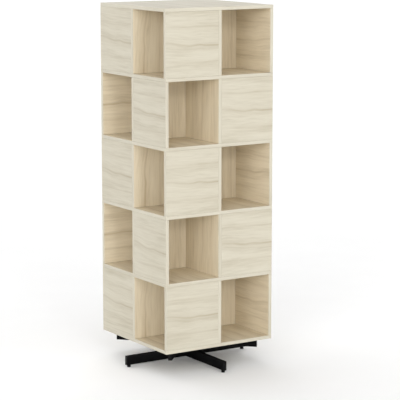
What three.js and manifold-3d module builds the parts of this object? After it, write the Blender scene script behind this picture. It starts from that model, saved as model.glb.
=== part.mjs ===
// Rotating filing tower: a square column of wooden boards, five tiers high with four
// open compartments in each tier, turning on a ball bearing between two crosses of
// black steel tube. The lower cross stands on the floor on four screw-in glides, and
// the upper cross carries the boards and turns with them.
//
// Units are millimetres. +Z is up and the origin is on the floor, on the turning axis.
// +X runs to the right along the front face, and +Y runs from the front to the back.

import * as THREE from 'three';
import { mergeVertices } from 'three/addons/utils/BufferGeometryUtils.js';
import Module from 'manifold-3d';

// Driving dimensions of the boards
const BODY_WIDTH = 660;
const BOARD = 18;
const TIERS = 5;
const CLEAR_HEIGHT = 335;
const JOINT_GAP = 0.3;

// Driving dimensions of the two crosses, their caps and their screw holes
const TUBE_HEIGHT = 50;
const TUBE_WIDTH = 20;
const TUBE_WALL = 2;
const TUBE_CORNER = 2.5;
const LOWER_OVERHANG = 50;
const UPPER_CORNER_INSET = 77;
const PLATE_THICKNESS = 4;
const PLATE_RIM = 3;
const HUB_WALL = 3;
const CAP_FLANGE = 3;
const CAP_BEVEL = 0.8;
const PLUG_DEPTH = 6.5;
const PLUG_CLEARANCE = 0.3;
const SCREW_RADIUS = 2.5;
const SCREW_CLEARANCE = 0.3;
const SCREW_ACCESS_RADIUS = 6;
const SCREW_PLATE_MARGIN = 40;
const SCREW_END_MARGIN = 70;

// Driving dimensions of the levelling glides
const GLIDE_HEIGHT = 12;
const GLIDE_RADIUS = 10;
const GLIDE_CHAMFER = 1.5;
const STEM_RADIUS = 4;
const STEM_CLEARANCE = 0.3;
const STEM_TAIL = 3;
const BUSH_RADIUS = 7;
const BUSH_HEIGHT = 14;
const BUSH_MARGIN = 1.5;

// Driving dimensions of the bearing and its pivot bolt
const TRACK_RADIUS = 85;
const TRACK_LIP = 8;
const TRACK_FLOOR = 1.4;
const RACE_GAP = 2.6;
const BALL_RADIUS = 4;
const BALL_COUNT = 16;
const BALL_CLEARANCE = 0.4;
const CAGE_LIP = 3;
const CAGE_CLEARANCE = 0.5;
const BOLT_RADIUS = 5;
const BOLT_CLEARANCE = 0.3;
const BOLT_TAIL = 4;
const HEX_FLATS = 16;
const HEX_ROOM = 3;
const HEAD_HEIGHT = 6.4;
const NUT_HEIGHT = 8.4;

// Gap between faces that rest on each other, weld overlap and cutting overrun
const SEAT_GAP = 0.3;
const WELD_SINK = 0.5;
const CUT_OVERRUN = 1;

// Fineness of the round shapes
const CORNER_STEPS = 2;
const ROUND_STEPS = 16;
const RING_STEPS = 48;
const TRACK_STEPS = 6;
const BALL_STEPS = 8;

// Sizes that follow from the driving dimensions
const PITCH = CLEAR_HEIGHT + BOARD;
const HALF_WIDTH = BODY_WIDTH / 2;
const HALF_BOARD = BOARD / 2;
const PANEL_HEIGHT = CLEAR_HEIGHT - 2 * JOINT_GAP;
const PANEL_LENGTH = HALF_WIDTH - HALF_BOARD - JOINT_GAP;

// The lower arms reach past the faces of the body, and the upper arms end short of its corners
const LOWER_REACH = HALF_WIDTH + LOWER_OVERHANG;
const UPPER_REACH = Math.hypot(HALF_WIDTH, HALF_WIDTH) - UPPER_CORNER_INSET;

const GROOVE_RADIUS = BALL_RADIUS + BALL_CLEARANCE;
const GROOVE_HALF_WIDTH = Math.sqrt(GROOVE_RADIUS ** 2 - (RACE_GAP / 2) ** 2);
const RACE_HALF_WIDTH = GROOVE_HALF_WIDTH + TRACK_LIP;
const RACE_THICKNESS = GROOVE_RADIUS - RACE_GAP / 2 + TRACK_FLOOR;
const PLATE_RADIUS = TRACK_RADIUS + RACE_HALF_WIDTH + PLATE_RIM;
const CROSS_GAP = 2 * (PLATE_THICKNESS + SEAT_GAP + RACE_THICKNESS) + RACE_GAP;

const HEX_RADIUS = HEX_FLATS / Math.sqrt(3);
const HUB_BORE = HEX_RADIUS + HEX_ROOM;
const HUB_RADIUS = HUB_BORE + HUB_WALL;
const GLIDE_INSET = CAP_FLANGE + PLUG_DEPTH + BUSH_MARGIN + BUSH_RADIUS;

const LOWER_CENTRE = GLIDE_HEIGHT + TUBE_HEIGHT / 2;
const UPPER_CENTRE = LOWER_CENTRE + TUBE_HEIGHT + CROSS_GAP;
const BALL_LEVEL = (LOWER_CENTRE + UPPER_CENTRE) / 2;
const BODY_BASE = UPPER_CENTRE + TUBE_HEIGHT / 2 + SEAT_GAP;

const QUARTER_TURN = Math.PI / 2;

const woodDecor = new THREE.MeshStandardMaterial({ color: 0xe2d9c3, roughness: 0.55, metalness: 0 });
const blackSteel = new THREE.MeshStandardMaterial({ color: 0x161616, roughness: 0.45, metalness: 0.2 });
const blackPlastic = new THREE.MeshStandardMaterial({ color: 0x101010, roughness: 0.6, metalness: 0 });
const bearingSteel = new THREE.MeshStandardMaterial({ color: 0xb8babd, roughness: 0.3, metalness: 1 });

const wasm = await Module();
wasm.setup();

// A closed geometry as a solid that can be joined and cut
function solidOf(geometry) {
  const bare = geometry.clone();
  bare.deleteAttribute('normal');
  bare.deleteAttribute('uv');
  const merged = mergeVertices(bare);
  return new wasm.Manifold(new wasm.Mesh({
    numProp: 3,
    vertProperties: merged.attributes.position.array,
    triVerts: new Uint32Array(merged.index.array),
  }));
}

// A joined or cut solid as a geometry
function geometryOf(solid) {
  const mesh = solid.getMesh();
  const geometry = new THREE.BufferGeometry();
  geometry.setAttribute('position', new THREE.BufferAttribute(mesh.vertProperties, 3));
  geometry.setIndex(new THREE.BufferAttribute(mesh.triVerts, 1));
  geometry.computeVertexNormals();
  return geometry;
}

function addPiece(group, name, geometry, material) {
  const mesh = new THREE.Mesh(geometry, material);
  mesh.name = name;
  group.add(mesh);
  return mesh;
}

// An upright round bar from z = bottom to z = top, with its axis at (x, y)
function uprightBar(radius, bottom, top, x = 0, y = 0, steps = ROUND_STEPS) {
  const bar = new THREE.CylinderGeometry(radius, radius, top - bottom, steps);
  bar.rotateX(QUARTER_TURN);
  bar.translate(x, y, (bottom + top) / 2);
  return solidOf(bar);
}

// A rectangle with round corners, centred on the origin
function roundedRectangle(width, height, corner) {
  const x = width / 2 - corner;
  const y = height / 2 - corner;
  const shape = new THREE.Shape();
  shape.absarc(x, y, corner, 0, QUARTER_TURN);
  shape.absarc(-x, y, corner, QUARTER_TURN, 2 * QUARTER_TURN);
  shape.absarc(-x, -y, corner, 2 * QUARTER_TURN, 3 * QUARTER_TURN);
  shape.absarc(x, -y, corner, 3 * QUARTER_TURN, 4 * QUARTER_TURN);
  shape.closePath();
  return shape;
}

// A bar of that section along Y, from y = start to y = end
function levelBar(width, height, corner, start, end) {
  const bar = new THREE.ExtrudeGeometry(roundedRectangle(width, height, corner), {
    depth: end - start,
    bevelEnabled: false,
    curveSegments: CORNER_STEPS,
  });
  bar.rotateX(QUARTER_TURN);
  bar.translate(0, end, 0);
  return solidOf(bar);
}

// A profile of radius and height pairs turned about the Z axis
function turned(profile, steps) {
  const points = profile.map(([radius, height]) => new THREE.Vector2(radius, height));
  const geometry = new THREE.LatheGeometry(points, steps);
  geometry.rotateX(QUARTER_TURN);
  return geometry;
}

// Two tubes welded crosswise to a round hub, with a bearing plate on one side of the
// crossing: plateSide is 1 for a plate on top and -1 for a plate underneath. The hub is
// open on the other side, so that a spanner reaches the pivot bolt. The middle of the
// tubes lies at z = 0, and the tubes lie along X and Y.
function tubeCross(reach, plateSide) {
  const tubeEnd = reach - CAP_FLANGE - SEAT_GAP;
  const outer = levelBar(TUBE_WIDTH, TUBE_HEIGHT, TUBE_CORNER, -tubeEnd, tubeEnd);
  const cutEnd = tubeEnd + CUT_OVERRUN;
  const innerWidth = TUBE_WIDTH - 2 * TUBE_WALL;
  const innerHeight = TUBE_HEIGHT - 2 * TUBE_WALL;
  const innerCorner = TUBE_CORNER - TUBE_WALL;
  const inner = levelBar(innerWidth, innerHeight, innerCorner, -cutEnd, cutEnd);
  const halfHeight = TUBE_HEIGHT / 2;
  const plate = plateSide > 0
    ? uprightBar(PLATE_RADIUS, halfHeight - WELD_SINK, halfHeight + PLATE_THICKNESS, 0, 0, RING_STEPS)
    : uprightBar(PLATE_RADIUS, -halfHeight - PLATE_THICKNESS, WELD_SINK - halfHeight, 0, 0, RING_STEPS);
  const seat = halfHeight - TUBE_WALL;
  const mouth = halfHeight + CUT_OVERRUN;
  const bore = plateSide > 0
    ? uprightBar(HUB_BORE, -mouth, seat)
    : uprightBar(HUB_BORE, -seat, mouth);
  const boltEnd = halfHeight + PLATE_THICKNESS + CUT_OVERRUN;
  return outer
    .add(outer.rotate([0, 0, 90]))
    .subtract(inner.add(inner.rotate([0, 0, 90])))
    .add(uprightBar(HUB_RADIUS, -halfHeight, halfHeight))
    .add(plate)
    .subtract(bore)
    .subtract(uprightBar(BOLT_RADIUS + BOLT_CLEARANCE, -boltEnd, boltEnd));
}

// The four arms of a cross in turn, as their names and their angles from the front
const LOWER_ARMS = [['front', 0], ['right', 1], ['back', 2], ['left', 3]];
const UPPER_ARMS = [['front_right', 0.5], ['back_right', 1.5], ['back_left', 2.5], ['front_left', 3.5]];

// The floor cross, with a threaded bush for a glide stem near the end of each arm
function lowerCrossGeometry() {
  const tubeFloor = -TUBE_HEIGHT / 2;
  const along = LOWER_REACH - GLIDE_INSET;
  let cross = tubeCross(LOWER_REACH, 1);
  for (const [, quarters] of LOWER_ARMS) {
    const x = along * Math.sin(quarters * QUARTER_TURN);
    const y = -along * Math.cos(quarters * QUARTER_TURN);
    const bushBase = tubeFloor + TUBE_WALL;
    const bush = uprightBar(BUSH_RADIUS, bushBase - WELD_SINK, bushBase + BUSH_HEIGHT, x, y);
    const holeTop = bushBase + BUSH_HEIGHT + CUT_OVERRUN;
    const hole = uprightBar(STEM_RADIUS + STEM_CLEARANCE, tubeFloor - CUT_OVERRUN, holeTop, x, y);
    cross = cross.add(bush).subtract(hole);
  }
  return geometryOf(cross);
}

// The turning cross, with two holes for wood screws in the top wall of each arm and a
// wider hole for the screwdriver under each of them in the bottom wall
function upperCrossGeometry() {
  const halfHeight = TUBE_HEIGHT / 2;
  const wallCut = TUBE_WALL + CUT_OVERRUN;
  let cross = tubeCross(UPPER_REACH, -1);
  for (const [, quarters] of LOWER_ARMS) {
    for (const along of [PLATE_RADIUS + SCREW_PLATE_MARGIN, UPPER_REACH - SCREW_END_MARGIN]) {
      const x = along * Math.sin(quarters * QUARTER_TURN);
      const y = -along * Math.cos(quarters * QUARTER_TURN);
      const holeRadius = SCREW_RADIUS + SCREW_CLEARANCE;
      const hole = uprightBar(holeRadius, halfHeight - wallCut, halfHeight + CUT_OVERRUN, x, y);
      const access = uprightBar(SCREW_ACCESS_RADIUS, -halfHeight - CUT_OVERRUN, wallCut - halfHeight, x, y);
      cross = cross.subtract(hole).subtract(access);
    }
  }
  return geometryOf(cross);
}

// A moulded cap for a tube end: a bevelled flange at the end of an arm that points to
// -Y, and a plug that fills the bore of the tube behind it
function endCapGeometry(reach) {
  const flange = new THREE.ExtrudeGeometry(
    roundedRectangle(TUBE_WIDTH - 2 * CAP_BEVEL, TUBE_HEIGHT - 2 * CAP_BEVEL, TUBE_CORNER - CAP_BEVEL),
    {
      depth: CAP_FLANGE - 2 * CAP_BEVEL,
      bevelThickness: CAP_BEVEL,
      bevelSize: CAP_BEVEL,
      bevelSegments: 1,
      curveSegments: CORNER_STEPS,
    },
  );
  flange.rotateX(QUARTER_TURN);
  flange.translate(0, CAP_FLANGE - CAP_BEVEL - reach, 0);
  const flangeBack = CAP_FLANGE - reach;
  const plugWidth = TUBE_WIDTH - 2 * (TUBE_WALL + PLUG_CLEARANCE);
  const plugHeight = TUBE_HEIGHT - 2 * (TUBE_WALL + PLUG_CLEARANCE);
  const plugCorner = TUBE_CORNER - TUBE_WALL;
  const plugEnd = flangeBack + PLUG_DEPTH;
  const plug = levelBar(plugWidth, plugHeight, plugCorner, flangeBack - WELD_SINK, plugEnd);
  return geometryOf(solidOf(flange).add(plug));
}

// A levelling glide: a round foot with a threaded stem that rises through the tube floor
function glideGeometry() {
  const shoulder = GLIDE_HEIGHT - SEAT_GAP;
  const stemTop = GLIDE_HEIGHT + TUBE_WALL + BUSH_HEIGHT + STEM_TAIL;
  return turned([
    [0, 0],
    [GLIDE_RADIUS - GLIDE_CHAMFER, 0],
    [GLIDE_RADIUS, GLIDE_CHAMFER],
    [GLIDE_RADIUS, shoulder - GLIDE_CHAMFER],
    [GLIDE_RADIUS - GLIDE_CHAMFER, shoulder],
    [STEM_RADIUS, shoulder],
    [STEM_RADIUS, stemTop],
    [0, stemTop],
  ], ROUND_STEPS);
}

// A bearing race with a round track in one face: side is -1 for the race under the
// balls and 1 for the race over them. The ball centres lie at z = 0.
function raceGeometry(side) {
  const face = side * RACE_GAP / 2;
  const back = face + side * RACE_THICKNESS;
  const lipAngle = Math.asin(RACE_GAP / 2 / GROOVE_RADIUS);
  const sweep = Math.PI - 2 * lipAngle;
  const profile = [
    [TRACK_RADIUS + RACE_HALF_WIDTH, back],
    [TRACK_RADIUS + RACE_HALF_WIDTH, face],
  ];
  for (let step = 0; step <= TRACK_STEPS; step += 1) {
    const angle = lipAngle + sweep * step / TRACK_STEPS;
    const radius = TRACK_RADIUS + GROOVE_RADIUS * Math.cos(angle);
    profile.push([radius, side * GROOVE_RADIUS * Math.sin(angle)]);
  }
  profile.push([TRACK_RADIUS - RACE_HALF_WIDTH, face]);
  profile.push([TRACK_RADIUS - RACE_HALF_WIDTH, back]);
  profile.push(profile[0]);
  return turned(side > 0 ? profile.reverse() : profile, RING_STEPS);
}

// The ball cage with its balls, which roll round the track together
function ballCageGeometry() {
  const halfCage = RACE_GAP / 2 - CAGE_CLEARANCE;
  const inside = TRACK_RADIUS - BALL_RADIUS - CAGE_LIP;
  const outside = TRACK_RADIUS + BALL_RADIUS + CAGE_LIP;
  let cage = uprightBar(outside, -halfCage, halfCage, 0, 0, RING_STEPS);
  const middle = halfCage + CUT_OVERRUN;
  cage = cage.subtract(uprightBar(inside, -middle, middle, 0, 0, RING_STEPS));
  for (let ball = 0; ball < BALL_COUNT; ball += 1) {
    const angle = 2 * Math.PI * ball / BALL_COUNT;
    const sphere = new THREE.SphereGeometry(BALL_RADIUS, BALL_STEPS, BALL_STEPS - 2);
    sphere.rotateX(QUARTER_TURN);
    sphere.translate(TRACK_RADIUS * Math.cos(angle), TRACK_RADIUS * Math.sin(angle), 0);
    cage = cage.add(solidOf(sphere));
  }
  return geometryOf(cage);
}

// The pivot bolt hangs by its head in the upper hub, and its nut lies in the lower hub
const HEAD_SEAT = UPPER_CENTRE - TUBE_HEIGHT / 2 + TUBE_WALL + SEAT_GAP;
const NUT_TOP = LOWER_CENTRE + TUBE_HEIGHT / 2 - TUBE_WALL - SEAT_GAP;
const HEX_SIDES = 6;

function pivotBoltGeometry() {
  const shankEnd = NUT_TOP - NUT_HEIGHT - BOLT_TAIL;
  const shank = uprightBar(BOLT_RADIUS, shankEnd, HEAD_SEAT + WELD_SINK);
  const head = uprightBar(HEX_RADIUS, HEAD_SEAT, HEAD_SEAT + HEAD_HEIGHT, 0, 0, HEX_SIDES);
  return geometryOf(shank.add(head));
}

function pivotNutGeometry() {
  const bottom = NUT_TOP - NUT_HEIGHT;
  const nut = uprightBar(HEX_RADIUS, bottom, NUT_TOP, 0, 0, HEX_SIDES);
  const thread = uprightBar(BOLT_RADIUS + BOLT_CLEARANCE, bottom - CUT_OVERRUN, NUT_TOP + CUT_OVERRUN);
  return geometryOf(nut.subtract(thread));
}

// A board between two corners
function boardGeometry(low, high) {
  const size = high.map((value, axis) => value - low[axis]);
  const board = new THREE.BoxGeometry(...size);
  board.translate(...low.map((value, axis) => value + size[axis] / 2));
  return board;
}

// The four outer panels of a tier go round it like the vanes of a pinwheel, each from a
// corner of the body to the middle of its face. side is -1 where the panels, seen from
// outside, take the left half of their face and 1 where they take the right half.
const FACES = ['front', 'right', 'back', 'left'];

function addPanels(tierGroup, tier, side) {
  const nearMiddle = side * (HALF_WIDTH - PANEL_LENGTH);
  const corner = side * HALF_WIDTH;
  const low = [Math.min(nearMiddle, corner), -HALF_WIDTH, 0];
  const high = [Math.max(nearMiddle, corner), BOARD - HALF_WIDTH, PANEL_HEIGHT];
  FACES.forEach((face, quarter) => {
    const panel = addPiece(tierGroup, `${face}_panel_${tier}`, boardGeometry(low, high), woodDecor);
    panel.rotation.z = quarter * QUARTER_TURN;
  });
}

// The cross of dividers inside a tier: one board from side to side, and a half-length
// board from it to the front face and to the back face
function addDividers(tierGroup, tier) {
  const through = boardGeometry(
    [-HALF_WIDTH, -HALF_BOARD, 0],
    [HALF_WIDTH, HALF_BOARD, PANEL_HEIGHT],
  );
  addPiece(tierGroup, `through_divider_${tier}`, through, woodDecor);
  const near = HALF_BOARD + JOINT_GAP;
  const front = boardGeometry([-HALF_BOARD, -HALF_WIDTH, 0], [HALF_BOARD, -near, PANEL_HEIGHT]);
  addPiece(tierGroup, `half_divider_front_${tier}`, front, woodDecor);
  const back = boardGeometry([-HALF_BOARD, near, 0], [HALF_BOARD, HALF_WIDTH, PANEL_HEIGHT]);
  addPiece(tierGroup, `half_divider_back_${tier}`, back, woodDecor);
}

function levelBoardName(level) {
  if (level === 0) {
    return 'bottom_board';
  }
  return level === TIERS ? 'top_board' : `shelf_${level}`;
}

// The standing base: the floor cross with its caps and glides, and the lower race
function makeBase() {
  const base = new THREE.Group();
  const lowerCross = addPiece(base, 'lower_cross', lowerCrossGeometry(), blackSteel);
  lowerCross.position.z = LOWER_CENTRE;
  for (const [arm, quarters] of LOWER_ARMS) {
    const armGroup = new THREE.Group();
    armGroup.rotation.z = quarters * QUARTER_TURN;
    base.add(armGroup);
    const cap = addPiece(armGroup, `lower_cap_${arm}`, endCapGeometry(LOWER_REACH), blackPlastic);
    cap.position.z = LOWER_CENTRE;
    const glide = addPiece(armGroup, `glide_${arm}`, glideGeometry(), blackPlastic);
    glide.position.y = GLIDE_INSET - LOWER_REACH;
  }
  const race = addPiece(base, 'bearing_lower_race', raceGeometry(-1), bearingSteel);
  race.position.z = BALL_LEVEL;
  return base;
}

// The turning underframe: the upper cross with its caps, the upper race and the pivot
function makeUnderframe() {
  const underframe = new THREE.Group();
  const upperCross = addPiece(underframe, 'upper_cross', upperCrossGeometry(), blackSteel);
  upperCross.position.z = UPPER_CENTRE;
  upperCross.rotation.z = QUARTER_TURN / 2;
  for (const [arm, quarters] of UPPER_ARMS) {
    const cap = addPiece(underframe, `upper_cap_${arm}`, endCapGeometry(UPPER_REACH), blackPlastic);
    cap.position.z = UPPER_CENTRE;
    cap.rotation.z = quarters * QUARTER_TURN;
  }
  const race = addPiece(underframe, 'bearing_upper_race', raceGeometry(1), bearingSteel);
  race.position.z = BALL_LEVEL;
  addPiece(underframe, 'pivot_bolt', pivotBoltGeometry(), bearingSteel);
  addPiece(underframe, 'pivot_nut', pivotNutGeometry(), bearingSteel);
  return underframe;
}

// The wooden body: level boards with a tier of panels and dividers on each but the last.
// The side that the panels take changes from one tier to the next.
function makeBody() {
  const body = new THREE.Group();
  body.position.z = BODY_BASE;
  for (let level = 0; level <= TIERS; level += 1) {
    const bottom = level * PITCH;
    const levelBoard = boardGeometry(
      [-HALF_WIDTH, -HALF_WIDTH, bottom],
      [HALF_WIDTH, HALF_WIDTH, bottom + BOARD],
    );
    addPiece(body, levelBoardName(level), levelBoard, woodDecor);
  }
  for (let tier = 1; tier <= TIERS; tier += 1) {
    const tierGroup = new THREE.Group();
    tierGroup.position.z = (tier - 1) * PITCH + BOARD + JOINT_GAP;
    body.add(tierGroup);
    addPanels(tierGroup, tier, tier % 2 === 1 ? -1 : 1);
    addDividers(tierGroup, tier);
  }
  return body;
}

const filingTower = new THREE.Group();
filingTower.add(makeBase());
const cage = addPiece(filingTower, 'ball_cage', ballCageGeometry(), bearingSteel);
cage.position.z = BALL_LEVEL;
filingTower.add(makeUnderframe());
filingTower.add(makeBody());

export default filingTower;
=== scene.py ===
from functools import partial
from math import cos, pi, radians, sin, sqrt

import bmesh
import bpy
import numpy as np
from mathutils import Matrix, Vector


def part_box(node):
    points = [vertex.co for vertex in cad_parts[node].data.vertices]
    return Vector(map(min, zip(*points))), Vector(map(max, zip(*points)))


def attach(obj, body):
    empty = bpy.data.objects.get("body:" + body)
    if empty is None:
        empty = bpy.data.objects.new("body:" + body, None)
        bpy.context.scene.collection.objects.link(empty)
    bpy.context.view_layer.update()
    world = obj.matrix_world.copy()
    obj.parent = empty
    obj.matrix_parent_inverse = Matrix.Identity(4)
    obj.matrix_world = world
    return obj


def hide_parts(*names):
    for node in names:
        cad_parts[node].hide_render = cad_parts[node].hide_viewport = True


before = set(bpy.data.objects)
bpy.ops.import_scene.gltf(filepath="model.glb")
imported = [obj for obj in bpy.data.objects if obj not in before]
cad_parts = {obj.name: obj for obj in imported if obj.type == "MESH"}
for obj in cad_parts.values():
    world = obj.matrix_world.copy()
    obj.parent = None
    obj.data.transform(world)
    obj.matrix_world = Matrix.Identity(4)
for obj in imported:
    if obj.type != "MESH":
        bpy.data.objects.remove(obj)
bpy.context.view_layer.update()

# The lower cross is two lengths of rectangular steel tube welded crosswise to a turned hub, with a
# bearing plate welded on top and a threaded bush in the floor of each arm. It is powder coated in
# fine black texture, and the weld beads show through the coat.
MM = 0.001
TUBE_LOW, TUBE_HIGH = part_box("lower_cap_front")
TUBE_HALF_WIDTH = TUBE_HIGH.x
TUBE_BOTTOM = TUBE_LOW.z
TUBE_TOP = TUBE_HIGH.z
PLATE_RADIUS = 100.2 * MM
HUB_RADIUS = 15.24 * MM
SMOOTH_ANGLE = radians(38)
MERGE_DISTANCE = 1e-6


def show(name, mesh, material, body, nodes=()):
    """Puts a finished mesh into the scene as a piece that rides on a body and stands for CAD nodes.
    Faces that meet at less than the smooth angle are shaded as one surface."""
    mesh.materials.clear()
    mesh.materials.append(material)
    mesh.shade_smooth()
    mesh.set_sharp_from_angle(angle=SMOOTH_ANGLE)
    piece = bpy.data.objects.new(name, mesh)
    bpy.context.scene.collection.objects.link(piece)
    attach(piece, body)
    if nodes:
        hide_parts(*nodes)


def merged(mesh):
    """Joins points that coincide, which closes seams and poles."""
    shape = bmesh.new()
    shape.from_mesh(mesh)
    bmesh.ops.remove_doubles(shape, verts=shape.verts, dist=MERGE_DISTANCE)
    shape.to_mesh(mesh)
    shape.free()
    return mesh


def mesh_of(name, skins):
    """One mesh from skins, which are pairs of an array of points and a list of arrays of faces."""
    points = np.concatenate([skin_points.reshape(-1, 3) for skin_points, _ in skins])
    faces = []
    first = 0
    for skin_points, skin_faces in skins:
        for group in skin_faces:
            faces.extend((group + first).tolist())
        first += skin_points.size // 3
    mesh = bpy.data.meshes.new(name)
    mesh.from_pydata(points.tolist(), [], faces)
    return merged(mesh)


def loft_faces(loops, points, ends=True):
    """Quads between neighbouring loops of a grid, each loop closed on itself. With ends, the first and
    the last loop are closed by a face of their own."""
    row, column = np.meshgrid(np.arange(loops - 1), np.arange(points), indexing="ij")
    beside = (column + 1) % points
    here = row * points
    above = here + points
    corners = [here + column, here + beside, above + beside, above + column]
    faces = [np.stack(corners, -1).reshape(-1, 4)]
    if ends:
        loop = np.arange(points)
        faces.append(loop[None, ::-1])
        faces.append(loop[None] + (loops - 1) * points)
    return faces


def coated_copy(name, node):
    """A merged copy of a CAD solid, so that its round faces can be shaded smooth."""
    mesh = merged(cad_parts[node].data.copy())
    mesh.name = name
    return mesh


BEAD_RADIUS = 2.1 * MM
BEAD_RIPPLE = 0.1
BEAD_PITCH = 1.8 * MM
BEAD_STEP = 0.45 * MM
BEAD_SIDES = 8
BEAD_END_SHARE = 0.5


def weld_bead(start, end):
    """A round bead from start to end whose radius swells and shrinks as the absolute sine of the length
    along it, as the overlapping ripples of a weld do."""
    start, end = np.array(start), np.array(end)
    length = np.linalg.norm(end - start)
    along = np.linspace(0, length, int(length / BEAD_STEP) + 2)
    ripple = np.abs(np.sin(pi * along / BEAD_PITCH))
    radius = BEAD_RADIUS * (1 - BEAD_RIPPLE + BEAD_RIPPLE * ripple)
    radius[[0, -1]] *= BEAD_END_SHARE
    axis = (end - start) / length
    upright = abs(axis[2]) >= 0.5
    side = np.cross(axis, [1.0, 0.0, 0.0] if upright else [0.0, 0.0, 1.0])
    side /= np.linalg.norm(side)
    lift = np.cross(axis, side)
    turn = np.arange(BEAD_SIDES) * 2 * pi / BEAD_SIDES
    ring = np.cos(turn)[:, None] * side + np.sin(turn)[:, None] * lift
    points = start + along[:, None, None] * axis + radius[:, None, None] * ring
    return points, loft_faces(len(along), BEAD_SIDES)


def cross_welds(turn, bottom, top, plate_face):
    """The sixteen beads of a cross: where each side of an arm meets the hub, upright, and where it
    meets the bearing plate, level."""
    near = sqrt(HUB_RADIUS**2 - TUBE_HALF_WIDTH**2)
    far = sqrt(PLATE_RADIUS**2 - TUBE_HALF_WIDTH**2) - BEAD_RADIUS
    up = np.array([0, 0, 1.0])
    beads = []
    for arm in range(4):
        angle = turn + arm * pi / 2
        out = np.array([cos(angle), sin(angle), 0])
        for side in (-1, 1):
            flank = np.array([-sin(angle), cos(angle), 0]) * side * TUBE_HALF_WIDTH
            inner = out * near + flank
            beads.append(weld_bead(inner + up * bottom, inner + up * top))
            outer = out * far + flank
            beads.append(weld_bead(inner + up * plate_face, outer + up * plate_face))
    return beads


def add_node(tree, kind, inputs=None, **settings):
    """A shader node with its settings. Each of its inputs is a fixed value or the output of another
    node."""
    made = tree.nodes.new(kind)
    for key, value in settings.items():
        setattr(made, key, value)
    for key, value in (inputs or {}).items():
        if isinstance(value, bpy.types.NodeSocket):
            tree.links.new(value, made.inputs[key])
        else:
            made.inputs[key].default_value = value
    return made


def arithmetic(tree, operation, *values):
    """The output of a Math node on fixed values or outputs."""
    return add_node(tree, "ShaderNodeMath", dict(enumerate(values)), operation=operation).outputs[0]


def ramp(tree, factor, stops):
    """The colour of a ramp, from pairs of a place and a colour."""
    made = add_node(tree, "ShaderNodeValToRGB", {"Fac": factor})
    elements = made.color_ramp.elements
    for index, (place, colour) in enumerate(stops):
        element = elements[index] if index < 2 else elements.new(place)
        element.position = place
        element.color = (*colour, 1)
    return made.outputs["Color"]


def new_surface(name, **sockets):
    """A new material, its node tree and its shader, with the sockets that are the same all over."""
    material = bpy.data.materials.new(name)
    material.use_nodes = True
    shader = material.node_tree.nodes["Principled BSDF"]
    for key, value in sockets.items():
        shader.inputs[key.replace("_", " ")].default_value = value
    return material, material.node_tree, shader


def object_place(tree):
    """The place of a point in the tower's own frame."""
    return add_node(tree, "ShaderNodeTexCoord").outputs["Object"]


def noise(tree, place, scale, detail):
    """The height of a noise of the given scale and detail, from 0 to 1."""
    inputs = {"Vector": place, "Scale": scale, "Detail": detail}
    return add_node(tree, "ShaderNodeTexNoise", inputs).outputs["Fac"]


def mixed(tree, factor, first, second, blend="MIX"):
    """Two colours mixed by a factor."""
    colours = {0: factor, 6: first, 7: second}
    return add_node(tree, "ShaderNodeMix", colours, data_type="RGBA", blend_type=blend).outputs[2]


def map_range(tree, value, from_low, from_high, to_low, to_high, kind="LINEAR"):
    """The output of a Map Range node."""
    ends = {"Value": value, 1: from_low, 2: from_high, 3: to_low, 4: to_high}
    return add_node(tree, "ShaderNodeMapRange", ends, interpolation_type=kind).outputs[0]


def finish_surface(tree, shader, colour, gloss, height, strength, distance):
    """Links a colour, a roughness and a bump of the given height to the shader."""
    inputs = {"Height": height, "Strength": strength, "Distance": distance}
    bump = add_node(tree, "ShaderNodeBump", inputs)
    tree.links.new(colour, shader.inputs["Base Color"])
    tree.links.new(gloss, shader.inputs["Roughness"])
    tree.links.new(bump.outputs[0], shader.inputs["Normal"])


COAT_TONES = [(0.3, (0.0014, 0.0014, 0.0015)), (0.7, (0.0034, 0.0034, 0.0036))]
COAT_CLOUD_NOISE = (14.0, 3.0)
COAT_GLOSS = (0.2, 0.3)
COAT_DUST = (0.012, 0.0116, 0.0112, 1)
COAT_RUB_NOISE = (160.0, 4.0)
COAT_RUB_STOPS = [(0.62, (0, 0, 0)), (0.78, (1, 1, 1))]
PEBBLE_NOISE = (1100.0, 2.0)
PEBBLE_STRENGTH = 0.2
PEBBLE_HEIGHT = 0.1 * MM


def powder_coat():
    """Black powder coat: a fine pebbled bump from small noise, with slow noise that shifts the grey and
    the gloss a little, and thin dusty rubs where a finer noise peaks."""
    material, tree, shader = new_surface("black_powder_coat", Specular_IOR_Level=0.05)
    place = object_place(tree)
    cloud = noise(tree, place, *COAT_CLOUD_NOISE)
    pebble = noise(tree, place, *PEBBLE_NOISE)
    rub = ramp(tree, noise(tree, place, *COAT_RUB_NOISE), COAT_RUB_STOPS)
    dusty = mixed(tree, rub, ramp(tree, cloud, COAT_TONES), COAT_DUST)
    gloss = map_range(tree, cloud, 0.0, 1.0, *COAT_GLOSS)
    finish_surface(tree, shader, dusty, gloss, pebble, PEBBLE_STRENGTH, PEBBLE_HEIGHT)
    return material


black_coat = powder_coat()
lower_cross = coated_copy("lower_cross_coated", "lower_cross")
show("lower_cross_coated", lower_cross, black_coat, "base", ["lower_cross"])
weld_low, weld_high = TUBE_BOTTOM + BEAD_RADIUS, TUBE_TOP - BEAD_RADIUS
lower_welds = cross_welds(0, weld_low, weld_high, TUBE_TOP - BEAD_RADIUS / 2)
lower_beads = mesh_of("lower_cross_welds", lower_welds)
show("lower_cross_welds", lower_beads, black_coat, "base")

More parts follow.
